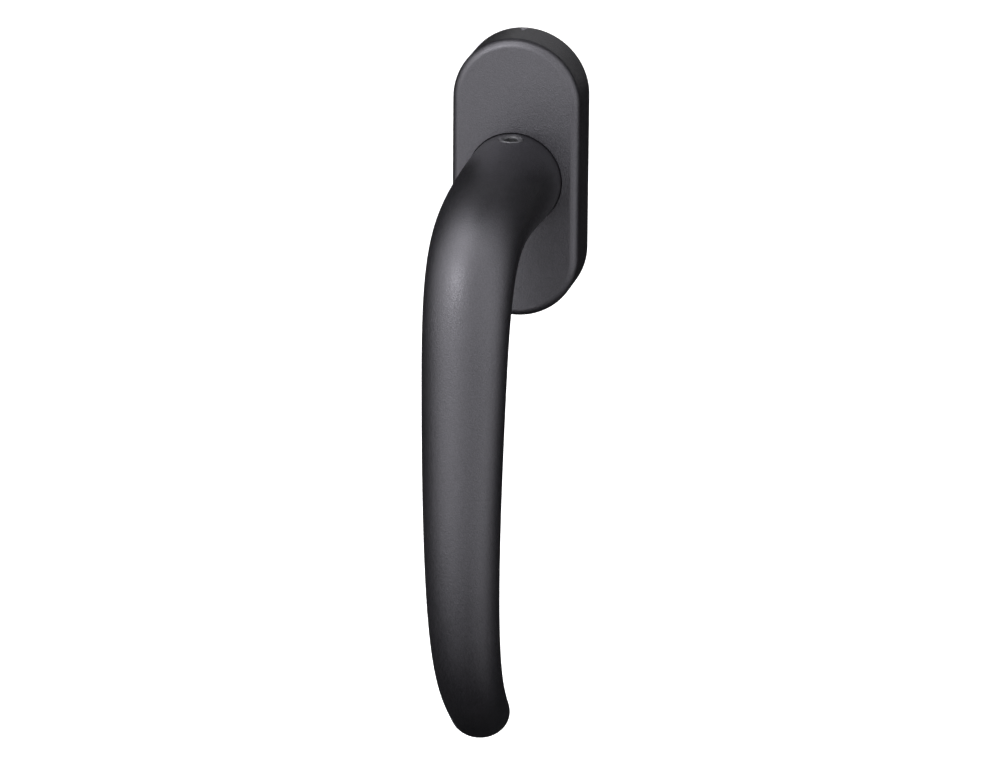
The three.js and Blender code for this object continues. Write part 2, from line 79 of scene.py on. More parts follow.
class Solid:
    """A closed piece under construction, in millimetres."""

    def __init__(self, name: str, bm: bmesh.types.BMesh) -> None:
        """Takes over a mesh under construction.

        Args:
            name: Name of the finished piece.
            bm: Closed mesh in millimetres; it is freed here.
        """
        bmesh.ops.remove_doubles(bm, verts=bm.verts, dist=1e-4)
        bmesh.ops.dissolve_degenerate(bm, dist=1e-5, edges=bm.edges)
        bmesh.ops.recalc_face_normals(bm, faces=bm.faces)
        mesh = bpy.data.meshes.new(name)
        bm.to_mesh(mesh)
        bm.free()
        self.piece = bpy.data.objects.new(name, mesh)
        bpy.context.scene.collection.objects.link(self.piece)

    def settle(self) -> None:
        """Makes the piece's modifiers part of its mesh."""
        depsgraph = bpy.context.evaluated_depsgraph_get()
        mesh = bpy.data.meshes.new_from_object(self.piece.evaluated_get(depsgraph))
        self.piece.modifiers.clear()
        old = self.piece.data
        self.piece.data = mesh
        bpy.data.meshes.remove(old)

    def work(self, tool: "Solid", cut: Cut = Cut.REMOVE) -> "Solid":
        """Cuts another solid away or adds it, and uses it up.

        Args:
            tool: The other solid.
            cut: Whether it is removed or added.

        Returns:
            This solid.
        """
        boolean = self.piece.modifiers.new("shape", "BOOLEAN")
        boolean.object = tool.piece
        boolean.operation = cut.value
        boolean.solver = "EXACT"
        self.settle()
        spent = tool.piece.data
        bpy.data.objects.remove(tool.piece)
        bpy.data.meshes.remove(spent)
        return self

    def break_edges(self, width: float, segments: int = 2, angle: float = 35) -> "Solid":
        """Rounds the sharp edges.

        Args:
            width: Width of the rounding in millimetres.
            segments: Faces across the rounding.
            angle: Smallest angle between two faces that counts as sharp, in degrees.

        Returns:
            This solid.
        """
        bevel = self.piece.modifiers.new("edges", "BEVEL")
        bevel.width = width
        bevel.segments = segments
        bevel.limit_method = "ANGLE"
        bevel.angle_limit = math.radians(angle)
        bevel.profile = 0.5
        bevel.use_clamp_overlap = True
        self.settle()
        return self

    def finish(self, body: str, finish: "Finish", *nodes: str, sharp: float = 32) -> bpy.types.Object:
        """Brings the piece to metres, coats it and hangs it on its body.

        Args:
            body: Moving body that the piece rides on.
            finish: Surface finish.
            nodes: Plain solids that the piece stands for.
            sharp: Smallest angle of an edge that stays sharp, in degrees.

        Returns:
            The finished piece.
        """
        mesh = self.piece.data
        mesh.transform(Matrix.Scale(MM, 4))
        mesh.shade_smooth()
        mesh.set_sharp_from_angle(angle=math.radians(sharp))
        weighting = self.piece.modifiers.new("even shading", "WEIGHTED_NORMAL")
        weighting.mode = "FACE_AREA_WITH_ANGLE"
        weighting.weight = 50
        weighting.keep_sharp = True
        self.settle()
        mesh = self.piece.data
        mesh.materials.clear()
        mesh.materials.append(finish.material())
        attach(self.piece, body)
        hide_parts(*nodes)
        LOG.info("%s: %d faces", self.piece.name, len(mesh.polygons))
        return self.piece


def turned(
    name: str,
    profile: Profile,
    centre: tuple[float, float, float] = (0, 0, 0),
    axis: Axis = Axis.SPINDLE,
    segments: int = 96,
    rounding: float = 0.0,
) -> Solid:
    """Spins a profile about an axis.

    Args:
        name: Name of the piece.
        profile: Radius and height of each corner, from one end of the axis to the other.
        centre: Point that the axis runs through and heights count from.
        axis: Direction of the axis.
        segments: Faces round the axis.
        rounding: Radius put on the corners that stand off the axis.

    Returns:
        The turned solid.
    """
    bm = bmesh.new()
    corners = [bm.verts.new((radius, 0, height)) for radius, height in profile]
    for first, second in zip(corners, corners[1:]):
        bm.edges.new((first, second))
    if rounding:
        bmesh.ops.bevel(
            bm,
            geom=corners[1:-1],
            offset=rounding,
            segments=4,
            profile=0.5,
            affect="VERTICES",
            clamp_overlap=True,
            material=-1,
        )
    bmesh.ops.spin(
        bm,
        geom=[*bm.verts, *bm.edges],
        cent=(0, 0, 0),
        axis=(0, 0, 1),
        dvec=(0, 0, 0),
        angle=FULL_TURN,
        steps=segments,
        use_merge=True,
    )
    bmesh.ops.transform(bm, matrix=Matrix.Translation(centre) @ axis.turn, verts=bm.verts)
    return Solid(name, bm)


def rod(
    name: str,
    radius: float,
    ends: tuple[float, float],
    centre: tuple[float, float, float] = (0, 0, 0),
    axis: Axis = Axis.SPINDLE,
    segments: int = 96,
) -> Solid:
    """Makes a plain round bar between two heights on its axis."""
    low, high = ends
    return turned(name, [(0, low), (radius, low), (radius, high), (0, high)], centre, axis, segments)


def obround_outline(
    bm: bmesh.types.BMesh, width: float, height: float, y: float, steps: int = 48
) -> bmesh.types.BMFace:
    """Draws an upright obround and fills it.

    Args:
        bm: Mesh to draw in.
        width: Width across the straight sides.
        height: Height over the round ends.
        y: Depth of the outline.
        steps: Edges round each end.

    Returns:
        The filled face.
    """
    radius = width / 2
    straight = height / 2 - radius
    start = bm.verts.new((radius, y, straight))
    upper = bmesh.ops.spin(
        bm, geom=[start], cent=(0, y, straight), axis=(0, -1, 0), angle=math.pi, steps=steps
    )
    left = upper["geom_last"][0]
    drop = bmesh.ops.extrude_vert_indiv(bm, verts=[left])["verts"]
    bmesh.ops.translate(bm, vec=(0, 0, -2 * straight), verts=drop)
    lower = bmesh.ops.spin(bm, geom=drop, cent=(0, y, -straight), axis=(0, -1, 0), angle=math.pi, steps=steps)
    bm.edges.new((lower["geom_last"][0], start))
    return bmesh.ops.contextual_create(bm, geom=list(bm.edges))["faces"][0]


def thicken(
    bm: bmesh.types.BMesh, face: bmesh.types.BMFace, way: Sequence[float]
) -> list[bmesh.types.BMVert]:
    """Pulls a face out into a prism and returns the corners of its far end."""
    pulled = bmesh.ops.extrude_face_region(bm, geom=[face])["geom"]
    corners = [part for part in pulled if isinstance(part, bmesh.types.BMVert)]
    bmesh.ops.translate(bm, vec=way, verts=corners)
    return corners


def obround(name: str, size: tuple[float, float], back: float, front: float, rounding: float = 0.0) -> Solid:
    """Makes an upright obround plate.

    Args:
        name: Name of the piece.
        size: Width and height.
        back: Depth of its back face.
        front: Depth of its front face.
        rounding: Radius on the rim of the front face.

    Returns:
        The plate.
    """
    bm = bmesh.new()
    face = obround_outline(bm, *size, back)
    rim = set(thicken(bm, face, (0, front - back, 0)))
    if rounding:
        edges = [edge for edge in bm.edges if rim.issuperset(edge.verts)]
        bmesh.ops.bevel(
            bm,
            geom=edges,
            offset=rounding,
            offset_type="OFFSET",
            segments=10,
            profile=0.5,
            affect="EDGES",
            clamp_overlap=True,
            material=-1,
        )
    return Solid(name, bm)


def block(name: str, low: Sequence[float], high: Sequence[float], taper: float = 1.0) -> Solid:
    """Makes a block between two corners.

    Args:
        name: Name of the piece.
        low: Lowest corner.
        high: Highest corner.
        taper: Scale of its deep end, at the high end of Y.

    Returns:
        The block.
    """
    bm = bmesh.new()
    size = Vector(high) - Vector(low)
    middle = (Vector(high) + Vector(low)) / 2
    bmesh.ops.create_cube(bm, size=1, matrix=Matrix.Translation(middle) @ Matrix.Diagonal((*size, 1)))
    if taper != 1:
        deep = [corner for corner in bm.verts if corner.co.y > middle.y]
        space = Matrix.Translation(-middle)
        bmesh.ops.scale(bm, vec=(taper, 1, taper), space=space, verts=deep)
    return Solid(name, bm)


def coordinates(
    tree: bpy.types.NodeTree, scale: float, stretch: Sequence[float] = (1, 1, 1)
) -> bpy.types.NodeSocket:
    """Adds object coordinates through a mapping.

    Args:
        tree: Node tree of a material.
        scale: Overall scale of the pattern.
        stretch: Extra scale along each axis.

    Returns:
        The mapped coordinates.
    """
    place = tree.nodes.new("ShaderNodeTexCoord")
    mapping = tree.nodes.new("ShaderNodeMapping")
    mapping.inputs["Scale"].default_value = [scale * part for part in stretch]
    tree.links.new(place.outputs["Object"], mapping.inputs["Vector"])
    return mapping.outputs["Vector"]


def ramp(
    tree: bpy.types.NodeTree, value: bpy.types.NodeSocket, stops: Sequence[tuple[float, Sequence[float]]]
) -> bpy.types.NodeSocket:
    """Adds a colour ramp over a value and returns its colour."""
    node = tree.nodes.new("ShaderNodeValToRGB")
    elements = node.color_ramp.elements
    for element, (position, colour) in zip(elements, stops):
        element.position = position
        element.color = (*colour, 1)
    for position, colour in stops[2:]:
        elements.new(position).color = (*colour, 1)
    tree.links.new(value, node.inputs["Fac"])
    return node.outputs["Color"]


def span(
    tree: bpy.types.NodeTree, value: bpy.types.NodeSocket, low: float, high: float
) -> bpy.types.NodeSocket:
    """Stretches a value between 0 and 1 to run from low to high."""
    node = tree.nodes.new("ShaderNodeMapRange")
    node.inputs["To Min"].default_value = low
    node.inputs["To Max"].default_value = high
    tree.links.new(value, node.inputs["Value"])
    return node.outputs["Result"]


class Effect:
    """Shader node groups that several finishes share."""

    made: ClassVar[dict[str, bpy.types.NodeTree]] = {}

    @classmethod
    def _group(
        cls, name: str, inputs: dict[str, float], outputs: Sequence[str]
    ) -> tuple[bpy.types.NodeTree, bpy.types.Node, bpy.types.Node]:
        """Starts a node group.

        Args:
            name: Name of the group.
            inputs: Its number inputs with their defaults.
            outputs: Its number outputs.

        Returns:
            The group with its input and output nodes.
        """
        tree = bpy.data.node_groups.new(name, "ShaderNodeTree")
        tree.interface.new_socket("Vector", in_out="INPUT", socket_type="NodeSocketVector")
        for label, value in inputs.items():
            socket = tree.interface.new_socket(label, in_out="INPUT", socket_type="NodeSocketFloat")
            socket.default_value = value
        for label in outputs:
            tree.interface.new_socket(label, in_out="OUTPUT", socket_type="NodeSocketFloat")
        cls.made[name] = tree
        return tree, tree.nodes.new("NodeGroupInput"), tree.nodes.new("NodeGroupOutput")

    @classmethod
    def grain(cls) -> bpy.types.NodeTree:
        """Fine raised grain: a height and a speckle mask, both from 0 to 1."""
        if "Fine grain" in cls.made:
            return cls.made["Fine grain"]
        inputs = {"Density": 3000, "Coarse share": 0.35}
        tree, given, result = cls._group("Fine grain", inputs, ["Height", "Speckle"])
        fine = tree.nodes.new("ShaderNodeTexNoise")
        fine.inputs["Detail"].default_value = 3
        fine.inputs["Roughness"].default_value = 0.6
        coarse = tree.nodes.new("ShaderNodeTexNoise")
        coarse.inputs["Detail"].default_value = 2
        third = tree.nodes.new("ShaderNodeMath")
        third.operation = "MULTIPLY"
        third.inputs[1].default_value = 0.31
        mix = tree.nodes.new("ShaderNodeMix")
        tree.links.new(given.outputs["Vector"], fine.inputs["Vector"])
        tree.links.new(given.outputs["Vector"], coarse.inputs["Vector"])
        tree.links.new(given.outputs["Density"], fine.inputs["Scale"])
        tree.links.new(given.outputs["Density"], third.inputs[0])
        tree.links.new(third.outputs[0], coarse.inputs["Scale"])
        tree.links.new(given.outputs["Coarse share"], mix.inputs["Factor"])
        tree.links.new(fine.outputs["Fac"], mix.inputs["A"])
        tree.links.new(coarse.outputs["Fac"], mix.inputs["B"])
        tree.links.new(mix.outputs["Result"], result.inputs["Height"])
        tree.links.new(span(tree, fine.outputs["Fac"], -0.6, 1.6), result.inputs["Speckle"])
        return tree

    @classmethod
    def mottling(cls) -> bpy.types.NodeTree:
        """Broad uneven patches, from 0 to 1, as of handling, flow marks or plating."""
        if "Mottling" in cls.made:
            return cls.made["Mottling"]
        tree, given, result = cls._group("Mottling", {"Density": 120, "Spread": 0.5}, ["Patches"])
        noise = tree.nodes.new("ShaderNodeTexNoise")
        noise.inputs["Detail"].default_value = 5
        noise.inputs["Distortion"].default_value = 0.4
        reach = tree.nodes.new("ShaderNodeMapRange")
        reach.interpolation_type = "SMOOTHSTEP"
        low = tree.nodes.new("ShaderNodeMath")
        low.operation = "MULTIPLY_ADD"
        low.inputs[1].default_value = -0.5
        low.inputs[2].default_value = 0.5
        high = tree.nodes.new("ShaderNodeMath")
        high.operation = "MULTIPLY_ADD"
        high.inputs[1].default_value = 0.5
        high.inputs[2].default_value = 0.5
        tree.links.new(given.outputs["Vector"], noise.inputs["Vector"])
        tree.links.new(given.outputs["Density"], noise.inputs["Scale"])
        tree.links.new(given.outputs["Spread"], low.inputs[0])
        tree.links.new(given.outputs["Spread"], high.inputs[0])
        tree.links.new(noise.outputs["Fac"], reach.inputs["Value"])
        tree.links.new(low.outputs[0], reach.inputs["From Min"])
        tree.links.new(high.outputs[0], reach.inputs["From Max"])
        tree.links.new(reach.outputs["Result"], result.inputs["Patches"])
        return tree

    @classmethod
    def place(cls, tree: bpy.types.NodeTree, group: bpy.types.NodeTree, **values: float) -> bpy.types.Node:
        """Puts a shared group in a material.

        Args:
            tree: Node tree of the material.
            group: The shared group.
            values: Its inputs, with underscores for spaces.

        Returns:
            The group's node, fed with object coordinates.
        """
        node = tree.nodes.new("ShaderNodeGroup")
        node.node_tree = group
        tree.links.new(coordinates(tree, 1), node.inputs["Vector"])
        for label, value in values.items():
            node.inputs[label.replace("_", " ")].default_value = value
        return node


@dataclass(frozen=True)
class Finish:
    """A surface finish with fine grain and broad patches.

    The colour runs between its two shades over the patches, and the roughness between its two values.
    """

    name: str
    slot: str
    dark: tuple[float, float, float]
    light: tuple[float, float, float]
    roughness: tuple[float, float]
    metallic: float = 0.0
    specular: float = 0.5
    tint: tuple[float, float, float] = (1, 1, 1)
    grain_density: float = 3000
    grain_height: float = 0.00001
    grain_strength: float = 0.3
    speckle: float = 0.1
    patch_density: float = 120
    patch_spread: float = 0.5
    coat: float = 0.0
    coat_roughness: float = 0.1

    def material(self) -> bpy.types.Material:
        """Builds the material once and returns it."""
        found = bpy.data.materials.get(self.name)
        if found:
            return found
        material = bpy.data.materials.new(self.name)
        material.use_nodes = True
        tree = material.node_tree
        shader = tree.nodes["Principled BSDF"]
        shader.inputs["Metallic"].default_value = self.metallic
        shader.inputs["Specular IOR Level"].default_value = self.specular
        shader.inputs["Specular Tint"].default_value = (*self.tint, 1)
        shader.inputs["Coat Weight"].default_value = self.coat
        shader.inputs["Coat Roughness"].default_value = self.coat_roughness
        patches = Effect.place(tree, Effect.mottling(), Density=self.patch_density, Spread=self.patch_spread)
        grain = Effect.place(tree, Effect.grain(), Density=self.grain_density)
        colour = ramp(tree, patches.outputs["Patches"], [(0, self.dark), (1, self.light)])
        speckled = tree.nodes.new("ShaderNodeMix")
        speckled.data_type = "RGBA"
        speckled.blend_type = "OVERLAY"
        speckled.inputs["Factor"].default_value = self.speckle
        tree.links.new(colour, speckled.inputs["A"])
        tree.links.new(grain.outputs["Speckle"], speckled.inputs["B"])
        tree.links.new(speckled.outputs["Result"], shader.inputs["Base Color"])
        tree.links.new(span(tree, patches.outputs["Patches"], *self.roughness), shader.inputs["Roughness"])
        bump = tree.nodes.new("ShaderNodeBump")
        bump.inputs["Strength"].default_value = self.grain_strength
        bump.inputs["Distance"].default_value = self.grain_height
        tree.links.new(grain.outputs["Height"], bump.inputs["Height"])
        tree.links.new(bump.outputs["Normal"], shader.inputs["Normal"])
        return material


ANTHRACITE = Finish(
    name="anthracite powder coat",
    slot="coated_aluminium",
    dark=(0.0095, 0.0092, 0.0110),
    light=(0.0112, 0.0108, 0.0128),
    roughness=(0.33, 0.37),
    specular=1.0,
    tint=(0.93, 0.91, 1.0),
    grain_density=3200,
    grain_height=0.0001,
    grain_strength=0.9,
    speckle=1.0,
    patch_density=60,
    patch_spread=0.6,
)
BLACK_OXIDE = Finish(
    name="black oxide steel",
    slot="black_steel",
    dark=(0.16, 0.16, 0.17),
    light=(0.22, 0.22, 0.23),
    roughness=(0.28, 0.40),
    metallic=0.9,
    grain_density=5000,
    grain_strength=0.2,
    patch_density=900,
)
ZINC_CASTING = Finish(
    name="bare zinc casting",
    slot="zinc_casting",
    dark=(0.36, 0.37, 0.38),
    light=(0.52, 0.53, 0.54),
    roughness=(0.42, 0.62),
    metallic=0.9,
    grain_density=2200,
    grain_height=0.00004,
    grain_strength=0.4,
    patch_density=160,
)
ZINC_PLATE = Finish(
    name="bright zinc plating",
    slot="plated_steel",
    dark=(0.60, 0.61, 0.60),
    light=(0.72, 0.73, 0.74),
    roughness=(0.24, 0.36),
    metallic=1.0,
    grain_density=4200,
    grain_strength=0.15,
    patch_density=220,
)
BALL_STEEL = Finish(
    name="polished ball steel",
    slot="polished_steel",
    dark=(0.70, 0.70, 0.70),
    light=(0.80, 0.80, 0.80),
    roughness=(0.08, 0.14),
    metallic=1.0,
    grain_density=9000,
    grain_strength=0.04,
    speckle=0.03,
)
SPRING_STEEL = Finish(
    name="drawn spring steel",
    slot="spring_steel",
    dark=(0.34, 0.35, 0.37),
    light=(0.46, 0.47, 0.49),
    roughness=(0.25, 0.38),
    metallic=1.0,
    grain_density=6000,
    grain_strength=0.12,
    patch_density=500,
)
ACETAL = Finish(
    name="natural acetal",
    slot="glide_plastic",
    dark=(0.74, 0.73, 0.68),
    light=(0.82, 0.81, 0.77),
    roughness=(0.36, 0.48),
    grain_density=3000,
    grain_strength=0.1,
    speckle=0.04,
)


def monotone(stations: Sequence[float], values: Sequence[float], place: float) -> float:
    """Runs a smooth curve that never overshoots through a row of values.

    Args:
        stations: Rising positions of the values.
        values: The values.
        place: Position to read.

    Returns:
        The value there.
    """
    gaps = [b - a for a, b in zip(stations, stations[1:])]
    rises = [(b - a) / gap for a, b, gap in zip(values, values[1:], gaps)]
    slopes = [rises[0]]
    for before, after, gap, next_gap in zip(rises, rises[1:], gaps, gaps[1:]):
        if before * after <= 0:
            slopes.append(0.0)
            continue
        near, far = 2 * next_gap + gap, next_gap + 2 * gap
        slopes.append((near + far) / (near / before + far / after))
    slopes.append(rises[-1])
    i = max(0, min(len(gaps) - 1, sum(place >= s for s in stations) - 1))
    t = max(0.0, min(1.0, (place - stations[i]) / gaps[i]))
    return (
        values[i] * (1 + 2 * t) * (1 - t) ** 2
        + slopes[i] * gaps[i] * t * (1 - t) ** 2
        + values[i + 1] * t * t * (3 - 2 * t)
        + slopes[i + 1] * gaps[i] * t * t * (t - 1)
    )


@dataclass
class Lever:
    """The lever casting: round neck, crank and oval grip, with its spindle socket and screw hole."""

    neck_radius: float = 11.3
    neck_back: float = -8.95
    neck_end: float = -17.1
    crank_reach: float = 29.9
    crank_end: tuple[float, float] = (-59.2, -31.1)
    crank_pull: float = 30.0
    crank_slope: float = 4.8
    grip_pull: float = 77.4
    grip_end: tuple[float, float] = (-38.3, -126.7)
    tip_pull: float = 18.7
    tip_slope: float = 41.5
    tip_rounding: float = 5.0
    half_widths: tuple[float, ...] = (11.3, 10.0, 9.15, 8.2, 7.0)
    half_depths: tuple[float, ...] = (11.3, 8.05, 8.0, 7.25, 6.3)
    grip_shares: tuple[float, ...] = (0.0, 0.35, 0.7, 1.0)
    socket_side: float = 7.1
    socket_end: float = -27.6
    screw_y: float = -15.0
    screw_hole: float = 2.96
    screw_mouth: float = 3.15
    around: int = 96
    spacing: float = 1.1

    def centreline(self) -> tuple[list[Vector], list[float]]:
        """Lays the centreline from the back of the neck to the tip.

        Returns:
            Its points, and the lengths at which the crank starts, the grip starts and the grip ends.
        """
        slope = math.radians(self.crank_slope)
        tip = math.radians(self.tip_slope)
        start = Vector((0, self.neck_end, 0))
        bend = Vector((0, *self.crank_end))
        end = Vector((0, *self.grip_end))
        down = Vector((0, -math.sin(slope), -math.cos(slope)))
        inward = Vector((0, math.sin(tip), -math.cos(tip)))
        neck = [Vector((0, self.neck_back, 0)).lerp(start, i / 12) for i in range(12)]
        reach = start - Vector((0, self.crank_reach, 0))
        crank = interpolate_bezier(start, reach, bend - down * self.crank_pull, bend, 160)
        grip = interpolate_bezier(bend, bend + down * self.grip_pull, end - inward * self.tip_pull, end, 240)
        points = [*neck, *crank, *grip[1:]]
        lengths = [0.0]
        for a, b in zip(points, points[1:]):
            lengths.append(lengths[-1] + (b - a).length)
        marks = [lengths[len(neck)], lengths[len(neck) + len(crank) - 1], lengths[-1]]
        self._points, self._lengths = points, lengths
        return points, marks

    def at(self, length: float) -> tuple[Vector, Vector]:
        """Finds the point and the direction of the centreline at a length along it."""
        i = max(1, min(len(self._lengths) - 1, sum(s < length for s in self._lengths)))
        before, after = self._lengths[i - 1], self._lengths[i]
        t = (length - before) / (after - before)
        a, b = self._points[i - 1], self._points[i]
        return a.lerp(b, t), (b - a).normalized()

    def section(self, length: float, size: tuple[float, float]) -> Matrix:
        """Places a unit circle as the section at a length along the centreline."""
        point, way = self.at(length)
        across = Vector((0, way.z, -way.y))
        turn = Matrix(((1, 0, 0), (0, across.y, way.y), (0, across.z, way.z))).to_4x4()
        return Matrix.Translation(point) @ turn @ Matrix.Diagonal((*size, 1, 1))

    def casting(self) -> Solid:
        """Draws the lever out of a round face, section by section."""
        _, marks = self.centreline()
        crank, grip, end = marks
        stations = [crank, *(grip + share * (end - grip) for share in self.grip_shares)]
        tip = end - self.tip_rounding
        count = round(tip / self.spacing)
        places = [(tip * i / count, 0.0) for i in range(1, count + 1)]
        for i in range(1, 15):
            angle = math.pi / 2 * i / 15
            along = self.tip_rounding * math.sin(angle)
            places.append((tip + along, self.tip_rounding * (1 - math.cos(angle))))
        bm = bmesh.new()
        matrix = self.section(0, (self.neck_radius, self.neck_radius))
        bmesh.ops.create_circle(bm, cap_ends=True, segments=self.around, radius=1, matrix=matrix)
        face = bm.faces[:][0]
        first = True
        for place, inset in places:
            size = (
                monotone(stations, self.half_widths, place) - inset,
                monotone(stations, self.half_depths, place) - inset,
            )
            following = self.section(place, size)
            pulled = bmesh.ops.extrude_face_region(bm, geom=[face])["geom"]
            corners = [part for part in pulled if isinstance(part, bmesh.types.BMVert)]
            bmesh.ops.transform(bm, matrix=following @ matrix.inverted(), verts=corners)
            if not first:
                bmesh.ops.delete(bm, geom=[face], context="FACES_ONLY")
            face = next(part for part in pulled if isinstance(part, bmesh.types.BMFace))
            matrix, first = following, False
        bmesh.ops.poke(bm, faces=[face])
        return Solid("lever_handle", bm)

    def build(self) -> bpy.types.Object:
        """Makes the finished lever."""
        half = self.socket_side / 2
        top = self.neck_radius
        lever = self.casting()
        lever.work(block("socket", (-half, self.socket_end, -half), (half, 0, half)))
        hole, mouth = self.screw_hole, self.screw_mouth
        profile = [
            (0, 2),
            (hole, 2),
            (hole, top - mouth + hole - 0.1),
            (mouth - 0.12, top - 0.22),
            (mouth + 0.25, top - 0.02),
            (mouth + 1, top + 0.12),
            (0, top + 0.9),
        ]
        lever.work(turned("screw hole", profile, (0, self.screw_y, 0), Axis.UPRIGHT, 64))
        return lever.finish("lever", ANTHRACITE, "lever")


@dataclass
class Cover:
    """The rosette cover: an obround shell with a rounded front rim, neck hole and pry mark."""

    width: float = 30.7
    height: float = 68.2
    depth: float = 11.3
    rim: float = 2.0
    wall: float = 1.4
    front_wall: float = 1.5
    hole: float = 11.44
    hole_lip: float = 0.14
    collar: float = 12.9
    collar_back: float = -9.1
    post_radius: float = 1.4
    post_z: float = 29.0
    post_back: float = -8.05
    mark_at: tuple[float, float] = (-0.4, -1.2)
    mark_size: tuple[float, float] = (2.2, 2.4)
    mark_depth: float = 0.9

    def pry_mark(self) -> Solid:
        """Makes the three-sided punch that leaves the pry mark in the top wall."""
        bm = bmesh.new()
        lay = Matrix.Translation((*self.mark_at, self.height / 2))
        wide, long = self.mark_size
        stretch = Matrix.Diagonal((wide / math.sqrt(3), long / 1.5, 1, 1))
        bmesh.ops.create_cone(
            bm,
            cap_ends=True,
            segments=3,
            radius1=0,
            radius2=2,
            depth=2 * self.mark_depth,
            matrix=lay @ stretch @ Matrix.Rotation(math.pi, 4, "Z"),
        )
        return Solid("pry mark", bm)

    def build(self) -> bpy.types.Object:
        """Makes the finished cover."""
        inner = (self.width - 2 * self.wall, self.height - 2 * self.wall)
        ceiling = self.front_wall - self.depth
        cover = obround("rosette_cover", (self.width, self.height), 0, -self.depth, self.rim)
        cover.work(obround("hollow", inner, 1, ceiling, 0.5))
        cover.work(rod("collar", self.collar, (ceiling - 0.5, self.collar_back)), Cut.ADD)
        for side in (1, -1):
            at = (0, 0, side * self.post_z)
            post = rod("post", self.post_radius, (ceiling - 0.5, self.post_back), at, segments=32)
            cover.work(post, Cut.ADD)
        lip = self.hole_lip
        front = -self.depth
        profile = [
            (0, 1),
            (self.hole, 1),
            (self.hole, front + lip),
            (self.hole + 0.3 * lip, front + 0.3 * lip),
            (self.hole + lip, front),
            (self.hole + lip, front - 1),
            (0, front - 1),
        ]
        cover.work(turned("neck hole", profile, segments=144))
        cover.work(self.pry_mark())
        return cover.finish("cover", ANTHRACITE, "cover")


